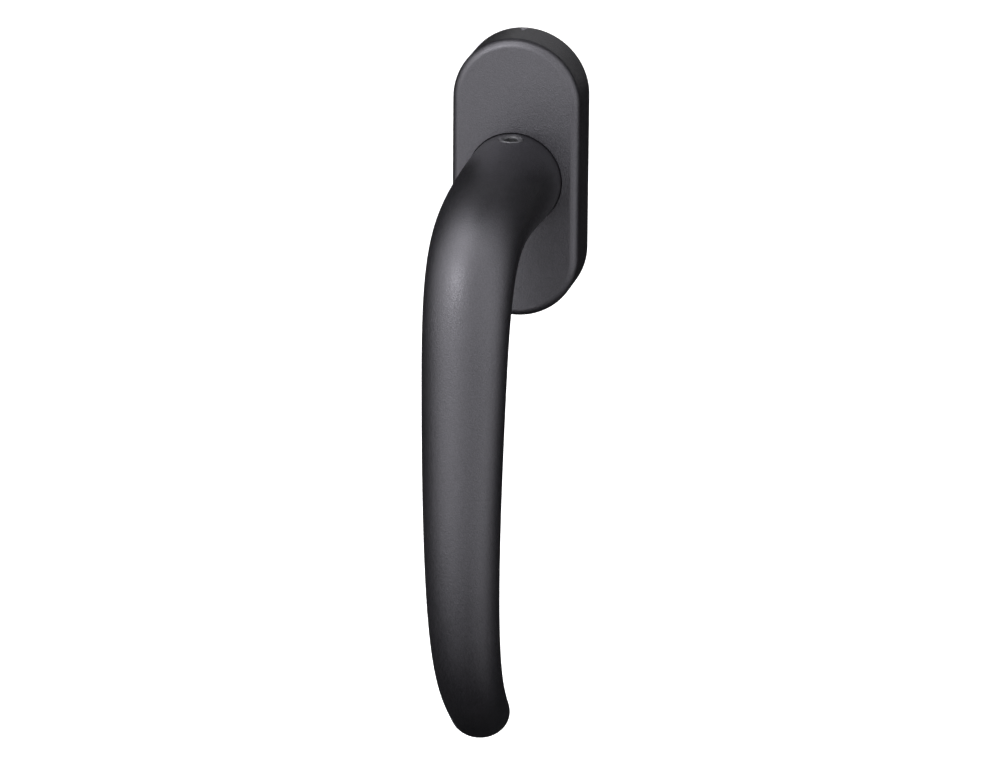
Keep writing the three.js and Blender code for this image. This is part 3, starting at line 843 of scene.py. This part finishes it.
@dataclass
class BasePlate:
    """The casting behind the cover, with its back sheet, rivets, thrust washer and glide ring."""

    width: float = 27.3
    height: float = 64.3
    front: float = -8.0
    back: float = -1.0
    screw_z: float = 21.5
    cam: float = 5.0
    cam_length: float = 3.0
    screw_hole: float = 2.7
    head_seat: float = 4.8
    head_front: float = -7.5
    rotor_bore: float = 9.0
    hub_hole: float = 6.7
    lip_back: float = -6.6
    chamber: float = 2.35
    chamber_end: float = 16.2
    chamber_y: float = -4.05
    rivet_at: tuple[float, float] = (9.6, 11.6)
    rivet: float = 1.2
    rivet_head: float = 2.1
    slot_z: float = 12.0
    slot_half: float = 6.0
    slot_depth: float = 0.95
    slot_y: tuple[float, float] = (-6.8, -2.4)

    def casting(self) -> bpy.types.Object:
        """Makes the base plate."""
        plate = obround("plate_casting", (self.width, self.height), self.back, self.front, 0.3)
        seat = self.head_front + 0.35
        for side in (1, -1):
            at = (0, 0, side * self.screw_z)
            cam = [
                (0, self.back - 1),
                (self.cam, self.back - 1),
                (self.cam, self.cam_length - 0.4),
                (self.cam - 0.4, self.cam_length),
                (0, self.cam_length),
            ]
            plate.work(turned("cam", cam, at, segments=64), Cut.ADD)
            hole = [
                (0, self.cam_length + 1),
                (self.screw_hole, self.cam_length + 1),
                (self.screw_hole, seat + self.head_seat - self.screw_hole),
                (self.head_seat, seat),
                (self.head_seat, self.front - 1),
                (0, self.front - 1),
            ]
            plate.work(turned("screw hole", hole, at, segments=64))
        bore = [
            (0, self.back + 1),
            (self.rotor_bore, self.back + 1),
            (self.rotor_bore, self.lip_back),
            (self.hub_hole, self.lip_back),
            (self.hub_hole, self.front + 0.2),
            (self.hub_hole + 0.4, self.front - 0.2),
            (self.hub_hole + 0.4, self.front - 1),
            (0, self.front - 1),
        ]
        plate.work(turned("bore", bore))
        ends = (-self.chamber_end, self.chamber_end)
        plate.work(rod("chamber", self.chamber, ends, (0, self.chamber_y, 0), Axis.UPRIGHT, 48))
        for side in (1, -1):
            at = (side * self.rivet_at[0], 0, side * self.rivet_at[1])
            head = self.front + 0.8
            hole = [
                (0, 1),
                (self.rivet + 0.02, 1),
                (self.rivet + 0.02, head),
                (self.rivet_head + 0.1, head),
                (self.rivet_head + 0.1, self.front - 1),
                (0, self.front - 1),
            ]
            plate.work(turned("rivet hole", hole, at, segments=32))
        inner = self.width / 2 - self.slot_depth
        for x in (1, -1):
            for z in (self.slot_z, -self.slot_z):
                sides = sorted((x * inner, x * (inner + 3)))
                low = (sides[0], self.slot_y[0], z - self.slot_half)
                high = (sides[1], self.slot_y[1], z + self.slot_half)
                plate.work(block("slot", low, high))
        return plate.finish("base", ZINC_CASTING, "base_plate")

    def back_sheet(self) -> bpy.types.Object:
        """Makes the steel sheet on the back of the casting."""
        sheet = obround("closing_sheet", (self.width - 0.5, self.height - 0.5), 0, self.back, 0.15)
        sheet.work(rod("spindle hole", self.hub_hole, (1, self.back - 1)))
        for side in (1, -1):
            at = (0, 0, side * self.screw_z)
            sheet.work(rod("cam hole", self.cam + 0.05, (1, self.back - 1), at, segments=64))
            at = (side * self.rivet_at[0], 0, side * self.rivet_at[1])
            hole = [
                (0, 0.5),
                (self.rivet_head + 0.55, 0.5),
                (self.rivet + 0.05, -0.95),
                (self.rivet + 0.05, -2),
                (0, -2),
            ]
            sheet.work(turned("rivet seat", hole, at, segments=32))
        return sheet.finish("base", ZINC_PLATE, "back_sheet")

    def rivets(self) -> list[bpy.types.Object]:
        """Makes the two rivets that hold the sheet."""
        made = []
        for place, side in (("upper", 1), ("lower", -1)):
            at = (side * self.rivet_at[0], 0, side * self.rivet_at[1])
            head = self.front + 0.75
            profile = [
                (0, -0.12),
                (0.5, -0.05),
                (self.rivet_head, -0.05),
                (self.rivet, -0.95),
                (self.rivet, head),
                (self.rivet_head, head),
                (self.rivet_head - 0.2, head - 0.4),
                (self.rivet_head - 0.9, self.front + 0.1),
                (0, self.front + 0.1),
            ]
            rivet = turned(f"sheet_rivet_{place}", profile, at, segments=40, rounding=0.06)
            made.append(rivet.finish("base", ZINC_PLATE, f"rivet_{place}"))
        return made

    def rings(self) -> list[bpy.types.Object]:
        """Makes the thrust washer behind the rotor and the glide ring under the neck."""
        washer = [(6, -1.1), (8.4, -1.1), (8.4, -1.5), (6, -1.5), (6, -1.1)]
        glide_back = self.front - 0.05
        glide = [(7.9, glide_back), (11, glide_back), (11, -8.85), (7.9, -8.85), (7.9, glide_back)]
        thrust = turned("rotor_washer", washer).break_edges(0.06)
        neck = turned("neck_glide", glide).break_edges(0.12)
        return [
            thrust.finish("base", SPRING_STEEL, "thrust_washer"),
            neck.finish("base", ACETAL, "glide_ring"),
        ]

    def build(self) -> list[bpy.types.Object]:
        """Makes the plate and all that is fixed to it."""
        return [self.casting(), self.back_sheet(), *self.rivets(), *self.rings()]


@dataclass
class Spindle:
    """The square spindle with its cross pin."""

    side: float = 7.0
    front: float = -27.0
    back: float = 35.0
    corner: float = 0.5
    end_chamfer: float = 0.8
    pin: float = 0.8
    pin_half: float = 6.1
    pin_y: float = -7.7

    def build(self) -> list[bpy.types.Object]:
        """Makes the spindle and its pin."""
        half = self.side / 2
        bm = bmesh.new()
        size = (self.side, self.back - self.front, self.side)
        middle = (0, (self.back + self.front) / 2, 0)
        bmesh.ops.create_cube(bm, size=1, matrix=Matrix.Translation(middle) @ Matrix.Diagonal((*size, 1)))
        long_edges = [e for e in bm.edges if abs(e.verts[0].co.y - e.verts[1].co.y) > self.side]
        bmesh.ops.bevel(
            bm, geom=long_edges, offset=self.corner, segments=4, profile=0.5, affect="EDGES", material=-1
        )
        ends = [e for e in bm.edges if abs(e.verts[0].co.y - e.verts[1].co.y) < 1e-4]
        bmesh.ops.bevel(
            bm,
            geom=ends,
            offset=self.end_chamfer,
            segments=1,
            profile=0.5,
            affect="EDGES",
            clamp_overlap=True,
            material=-1,
        )
        bar = Solid("square_spindle", bm)
        bar.work(rod("pin hole", self.pin + 0.03, (-half - 1, half + 1), (0, self.pin_y, 0), Axis.CROSS, 32))
        tip = self.pin_half
        inner, shoulder = self.pin - 0.25, tip - 0.3
        profile = [
            (0, -tip),
            (inner, -tip),
            (self.pin, -shoulder),
            (self.pin, shoulder),
            (inner, tip),
            (0, tip),
        ]
        pin = turned("spindle_cross_pin", profile, (0, self.pin_y, 0), Axis.CROSS, 32)
        return [
            bar.finish("rotor", ZINC_PLATE, "spindle"),
            pin.finish("rotor", ZINC_PLATE, "spindle_pin"),
        ]


@dataclass
class Detent:
    """The notched rotor with its balls and coil springs."""

    radius: float = 8.6
    back: float = -1.6
    front: float = -6.5
    hub: float = 6.4
    hub_front: float = -8.8
    notches: int = 4
    ball: float = 2.25
    ball_y: float = -4.05
    ball_z: float = 10.91
    travel: float = 0.8
    square: float = 7.06
    pin_hole: float = 0.83
    pin_y: float = -7.7
    coil: float = 1.55
    wire: float = 0.23
    turns: int = 4
    spring_end: float = 16.12

    def rotor(self) -> bpy.types.Object:
        """Makes the rotor."""
        profile = [
            (0, self.back),
            (self.radius - 0.25, self.back),
            (self.radius, self.back - 0.25),
            (self.radius, self.front + 0.25),
            (self.radius - 0.25, self.front),
            (self.hub, self.front),
            (self.hub, self.hub_front + 0.25),
            (self.hub - 0.25, self.hub_front),
            (0, self.hub_front),
        ]
        rotor = turned("detent_rotor", profile, segments=144)
        reach = self.ball_z - self.travel
        for i in range(self.notches):
            angle = FULL_TURN * i / self.notches
            at = (reach * math.sin(angle), 0, reach * math.cos(angle))
            rotor.work(rod("notch", self.ball + 0.12, (0, self.front - 1), at, segments=64))
        half = self.square / 2
        rotor.work(block("square", (-half, self.hub_front - 1, -half), (half, 0, half)))
        rotor.work(rod("pin hole", self.pin_hole, (-8, 8), (0, self.pin_y, 0), Axis.CROSS, 32))
        return rotor.finish("rotor", ZINC_CASTING, "rotor")

    def ball_and_spring(self, place: str, side: int) -> list[bpy.types.Object]:
        """Makes one ball and the coil spring behind it.

        Args:
            place: Upper or lower.
            side: 1 above the rotor and -1 below it.

        Returns:
            The ball and the spring.
        """
        bm = bmesh.new()
        bmesh.ops.create_icosphere(bm, subdivisions=5, radius=self.ball)
        bmesh.ops.translate(bm, vec=(0, self.ball_y, side * self.ball_z), verts=bm.verts)
        ball = Solid(f"detent_ball_{place}", bm)

        start = self.ball_z + math.sqrt((self.ball + self.wire) ** 2 - self.coil**2) + 0.08
        end = self.spring_end - self.wire - 0.02
        bm = bmesh.new()
        steps = 36 * self.turns
        lay = Matrix.Translation((self.coil, 0, start)) @ Matrix.Rotation(math.pi / 2, 4, "X")
        bmesh.ops.create_circle(bm, cap_ends=True, segments=12, radius=self.wire, matrix=lay)
        bmesh.ops.spin(
            bm,
            geom=[*bm.verts, *bm.edges, *bm.faces],
            cent=(0, 0, 0),
            axis=(0, 0, 1),
            dvec=(0, 0, (end - start) / steps),
            angle=FULL_TURN * self.turns,
            steps=steps,
        )
        if side < 0:
            bmesh.ops.rotate(bm, cent=(0, 0, 0), matrix=Matrix.Rotation(math.pi, 3, "X"), verts=bm.verts)
        bmesh.ops.translate(bm, vec=(0, self.ball_y, 0), verts=bm.verts)
        spring = Solid(f"coil_spring_{place}", bm)
        return [
            ball.finish(f"ball_{place}", BALL_STEEL, f"ball_{place}"),
            spring.finish("base", SPRING_STEEL, f"detent_spring_{place}"),
        ]

    def build(self) -> list[bpy.types.Object]:
        """Makes the whole detent."""
        return [self.rotor(), *self.ball_and_spring("upper", 1), *self.ball_and_spring("lower", -1)]


@dataclass
class LeafSprings:
    """The four leaf springs that grip the cover from inside."""

    z: float = 12.0
    length: float = 11.0
    foot: float = 12.73
    crown: float = 13.91
    thickness: float = 0.4
    back: float = -2.6
    front: float = -6.6
    steps: int = 24

    def build(self) -> list[bpy.types.Object]:
        """Makes the four springs."""
        made = []
        for across, x in (("left", -1), ("right", 1)):
            for place, side in (("upper", 1), ("lower", -1)):
                bm = bmesh.new()
                strip = []
                for i in range(self.steps + 1):
                    t = 2 * i / self.steps - 1
                    rise = (self.crown - self.thickness - self.foot) * (0.5 + 0.5 * math.cos(math.pi * t))
                    point = (x * (self.foot + rise), self.back, side * self.z + t * self.length / 2)
                    strip.append(bm.verts.new(point))
                edges = [bm.edges.new(pair) for pair in zip(strip, strip[1:])]
                wide = bmesh.ops.extrude_edge_only(bm, edges=edges)["geom"]
                corners = [part for part in wide if isinstance(part, bmesh.types.BMVert)]
                bmesh.ops.translate(bm, vec=(0, self.front - self.back, 0), verts=corners)
                flat = list(bm.faces)
                out = bmesh.ops.extrude_face_region(bm, geom=flat)["geom"]
                corners = [part for part in out if isinstance(part, bmesh.types.BMVert)]
                bmesh.ops.translate(bm, vec=(x * self.thickness, 0, 0), verts=corners)
                leaf = Solid(f"cover_leaf_{place}_{across}", bm).break_edges(0.06, angle=50)
                made.append(leaf.finish("base", SPRING_STEEL, f"cover_spring_{place}_{across}"))
        return made


class Fastener:
    """Shapes that the screws share."""

    @staticmethod
    def thread(
        piece: bpy.types.Object,
        at: Sequence[float],
        span_y: tuple[float, float],
        major: float,
        pitch: float,
        depth: float,
    ) -> None:
        """Winds a thread into the shank of a turned screw whose axis runs along Y.

        Args:
            piece: The screw, in millimetres.
            at: Point on its axis.
            span_y: First and last depth of the thread.
            major: Radius over the crests.
            pitch: Rise of one turn.
            depth: Depth of the groove.
        """
        low, high = span_y
        for corner in piece.data.vertices:
            x, y, z = corner.co.x - at[0], corner.co.y, corner.co.z - at[2]
            radius = math.hypot(x, z)
            if not low <= y <= high or radius < 0.8 * major:
                continue
            phase = (y / pitch - math.atan2(z, x) / FULL_TURN) % 1
            groove = depth * min(1, 2.4 * min(phase, 1 - phase))
            fade = min(1, (y - low) / pitch, (high - y) / (0.5 * pitch))
            factor = (radius - (depth - groove) * fade) / radius
            corner.co.x = at[0] + x * factor
            corner.co.z = at[2] + z * factor


@dataclass
class FixingScrews(Fastener):
    """The two countersunk screws with a cross recess."""

    z: float = 21.5
    head: float = 4.6
    head_front: float = -7.5
    shank: float = 2.45
    tip: float = 22.5
    thread_from: float = 3.5
    pitch: float = 0.8
    thread_depth: float = 0.42
    recess: float = 2.6

    def build(self) -> list[bpy.types.Object]:
        """Makes both screws."""
        made = []
        for place, side in (("upper", 1), ("lower", -1)):
            at = (0, 0, side * self.z)
            neck = self.head_front + 0.3 + self.head - self.shank
            rows = round((self.tip - 1 - self.thread_from) / (self.pitch / 8))
            shank = [
                (self.shank, self.tip - 1 - (self.tip - 1 - self.thread_from) * i / rows)
                for i in range(rows + 1)
            ]
            profile = [
                (0, self.tip),
                (self.shank - 0.9, self.tip),
                *shank,
                (self.shank, neck),
                (self.head - 0.06, self.head_front + 0.32),
                (self.head, self.head_front + 0.24),
                (self.head, self.head_front + 0.08),
                (self.head - 0.1, self.head_front),
                (0, self.head_front),
            ]
            screw = turned(f"countersunk_screw_{place}", profile, at, segments=40)
            length = (self.thread_from, self.tip - 1)
            self.thread(screw.piece, at, length, self.shank, self.pitch, self.thread_depth)
            top, deep = self.head_front - 0.4, self.head_front + self.recess
            for wide, tall in ((2.5, 0.62), (0.62, 2.5)):
                low = (-wide, top, at[2] - tall)
                high = (wide, deep, at[2] + tall)
                screw.work(block("recess", low, high, taper=0.36))
            made.append(screw.finish("base", ZINC_PLATE, f"fixing_screw_{place}"))
        return made


@dataclass
class SetScrew(Fastener):
    """The set screw with a hexagon socket in the top of the neck."""

    y: float = -15.0
    radius: float = 2.9
    bottom: float = 3.53
    top: float = 11.2
    ring: float = 0.75
    flare: float = 0.45
    across_flats: float = 3.0
    socket_depth: float = 3.0

    def build(self) -> bpy.types.Object:
        """Makes the set screw."""
        profile = [
            (0, self.bottom),
            (self.radius - 0.7, self.bottom),
            (self.radius, self.bottom + 0.7),
            (self.radius, self.top),
            (self.radius - self.ring, self.top),
            (self.radius - self.ring - self.flare, self.top - self.flare),
            (0, self.top - self.flare),
        ]
        at = (0, self.y, 0)
        screw = turned("neck_set_screw", profile, at, Axis.UPRIGHT, 64, rounding=0.32)
        corner = self.across_flats / math.sqrt(3)
        socket = [
            (0, self.top - self.socket_depth - 0.5),
            (corner, self.top - self.socket_depth),
            (corner, self.top + 0.35),
            (0, self.top + 0.35),
        ]
        screw.work(turned("socket", socket, at, Axis.UPRIGHT, 6))
        return screw.finish("set_screw", BLACK_OXIDE, "set_screw")


@dataclass
class Studio:
    """Camera, lights and stage."""

    azimuth: float = 13.499
    elevation: float = 19.506
    roll: float = 0.4565
    distance: float = 1.5
    lens: float = 224.8
    target: tuple[float, float, float] = (-0.00575, 0.0, -0.0569)
    floor_z: float = -0.16
    box_aim: tuple[float, float, float] = (0.0, -0.03, -0.04)
    box_distance: float = 1.2
    box_size: float = 0.8
    tent_azimuths: tuple[float, ...] = (-110, -80, -55, -30, -5, 20, 45, 70, 95)
    tent_rows: tuple[tuple[float, tuple[float, ...]], ...] = (
        (60, (0.39, 1.11, 1.59, 1.54, 1.18, 0.99, 0.98, 0.79, 0.32)),
        (36, (0.20, 1.11, 1.83, 1.68, 1.07, 0.98, 1.23, 1.16, 0.54)),
        (12, (0, 0.90, 2.03, 2.26, 1.54, 1.28, 1.68, 1.57, 0.67)),
        (-12, (0, 0.11, 1.14, 2.03, 1.75, 0.96, 1.39, 1.54, 0.59)),
        (-36, (0, 0, 0, 0.40, 0.47, 0.22, 0.49, 0.61, 0)),
    )
    back_boxes: tuple[tuple[float, float, float], ...] = ((0, 88, 0.20), (180, 12, 0.68), (180, 45, 0.39))
    accents: tuple[tuple[float, float, float], ...] = ((-26, 27, 3.4), (-38, 66, 0.9))
    accent_size: float = 0.4

    def camera(self) -> None:
        """Sets up the camera in front of the handle, above it and to its right."""
        azimuth, elevation, roll = (math.radians(v) for v in (self.azimuth, self.elevation, self.roll))
        back = Vector(
            (
                math.sin(azimuth) * math.cos(elevation),
                -math.cos(azimuth) * math.cos(elevation),
                math.sin(elevation),
            )
        )
        right = Vector((math.cos(azimuth), math.sin(azimuth), 0))
        up = back.cross(right)
        tilted = right * math.cos(roll) + up * math.sin(roll)
        upright = up * math.cos(roll) - right * math.sin(roll)
        lens = bpy.data.cameras.new("camera")
        lens.lens = self.lens
        lens.sensor_width = 36
        lens.clip_start, lens.clip_end = 0.05, 20
        camera = bpy.data.objects.new("camera", lens)
        turn = Matrix((tilted, upright, back)).transposed().to_4x4()
        camera.matrix_world = Matrix.Translation(Vector(self.target) + back * self.distance) @ turn
        bpy.context.scene.collection.objects.link(camera)
        bpy.context.scene.camera = camera

    def soft_box(self, azimuth: float, elevation: float, power: float, size: float) -> None:
        """Adds a square soft box that faces the handle.

        Args:
            azimuth: Degrees to the right of the handle's front.
            elevation: Degrees above the horizon.
            power: Power in watts.
            size: Side of the box.
        """
        if power == 0:
            return
        turn, rise = math.radians(azimuth), math.radians(elevation)
        way = Vector((math.sin(turn) * math.cos(rise), -math.cos(turn) * math.cos(rise), math.sin(rise)))
        light = bpy.data.lights.new(f"soft box {azimuth} {elevation}", "AREA")
        light.shape = "SQUARE"
        light.size = size
        light.energy = power
        lamp = bpy.data.objects.new(light.name, light)
        lamp.location = Vector(self.box_aim) + way * self.box_distance
        lamp.rotation_euler = (-way).to_track_quat("-Z", "Y").to_euler()
        bpy.context.scene.collection.objects.link(lamp)

    def stage(self) -> None:
        """Adds the pale floor and the pale surroundings."""
        bm = bmesh.new()
        bmesh.ops.create_grid(bm, x_segments=2, y_segments=2, size=6)
        bmesh.ops.translate(bm, vec=(0, 0, self.floor_z), verts=bm.verts)
        mesh = bpy.data.meshes.new("floor")
        bm.to_mesh(mesh)
        bm.free()
        floor = bpy.data.objects.new("floor", mesh)
        bpy.context.scene.collection.objects.link(floor)
        material = bpy.data.materials.new("pale floor")
        material.use_nodes = True
        shader = material.node_tree.nodes["Principled BSDF"]
        shader.inputs["Base Color"].default_value = (0.9, 0.9, 0.9, 1)
        shader.inputs["Roughness"].default_value = 0.9
        shader.inputs["Specular IOR Level"].default_value = 0.0
        shader.inputs["Emission Color"].default_value = (1, 1, 1, 1)
        shader.inputs["Emission Strength"].default_value = 0.95
        mesh.materials.append(material)
        floor.visible_diffuse = False
        floor.visible_glossy = False
        world = bpy.data.worlds.new("surroundings")
        bpy.context.scene.world = world
        world.use_nodes = True
        tree = world.node_tree
        tree.nodes.clear()
        rays = tree.nodes.new("ShaderNodeLightPath")
        dim = tree.nodes.new("ShaderNodeBackground")
        dim.inputs["Color"].default_value = (0.01, 0.01, 0.01, 1)
        pale = tree.nodes.new("ShaderNodeBackground")
        pale.inputs["Color"].default_value = (1, 1, 1, 1)
        mix = tree.nodes.new("ShaderNodeMixShader")
        output = tree.nodes.new("ShaderNodeOutputWorld")
        tree.links.new(rays.outputs["Is Camera Ray"], mix.inputs["Fac"])
        tree.links.new(dim.outputs["Background"], mix.inputs[1])
        tree.links.new(pale.outputs["Background"], mix.inputs[2])
        tree.links.new(mix.outputs["Shader"], output.inputs["Surface"])

    def build(self) -> None:
        """Sets up the whole studio."""
        scene = bpy.context.scene
        scene.view_settings.view_transform = "Standard"
        self.camera()
        for elevation, powers in self.tent_rows:
            for azimuth, power in zip(self.tent_azimuths, powers):
                self.soft_box(azimuth, elevation, power, self.box_size)
        for azimuth, elevation, power in self.back_boxes:
            self.soft_box(azimuth, elevation, power, self.box_size)
        for azimuth, elevation, power in self.accents:
            self.soft_box(azimuth, elevation, power, self.accent_size)
        self.stage()


def main() -> None:
    """Builds the handle piece by piece, then the studio."""
    logging.basicConfig(level=logging.INFO, format="%(name)s %(message)s")
    parts = [Cover(), Lever(), SetScrew(), BasePlate(), Spindle(), Detent(), LeafSprings(), FixingScrews()]
    for part in parts:
        made = part.build()
        pieces = made if isinstance(made, list) else [made]
        LOG.info("%s: %s", type(part).__name__, ", ".join(piece.name for piece in pieces))
    Studio().build()


if __name__ == "__main__":
    main()
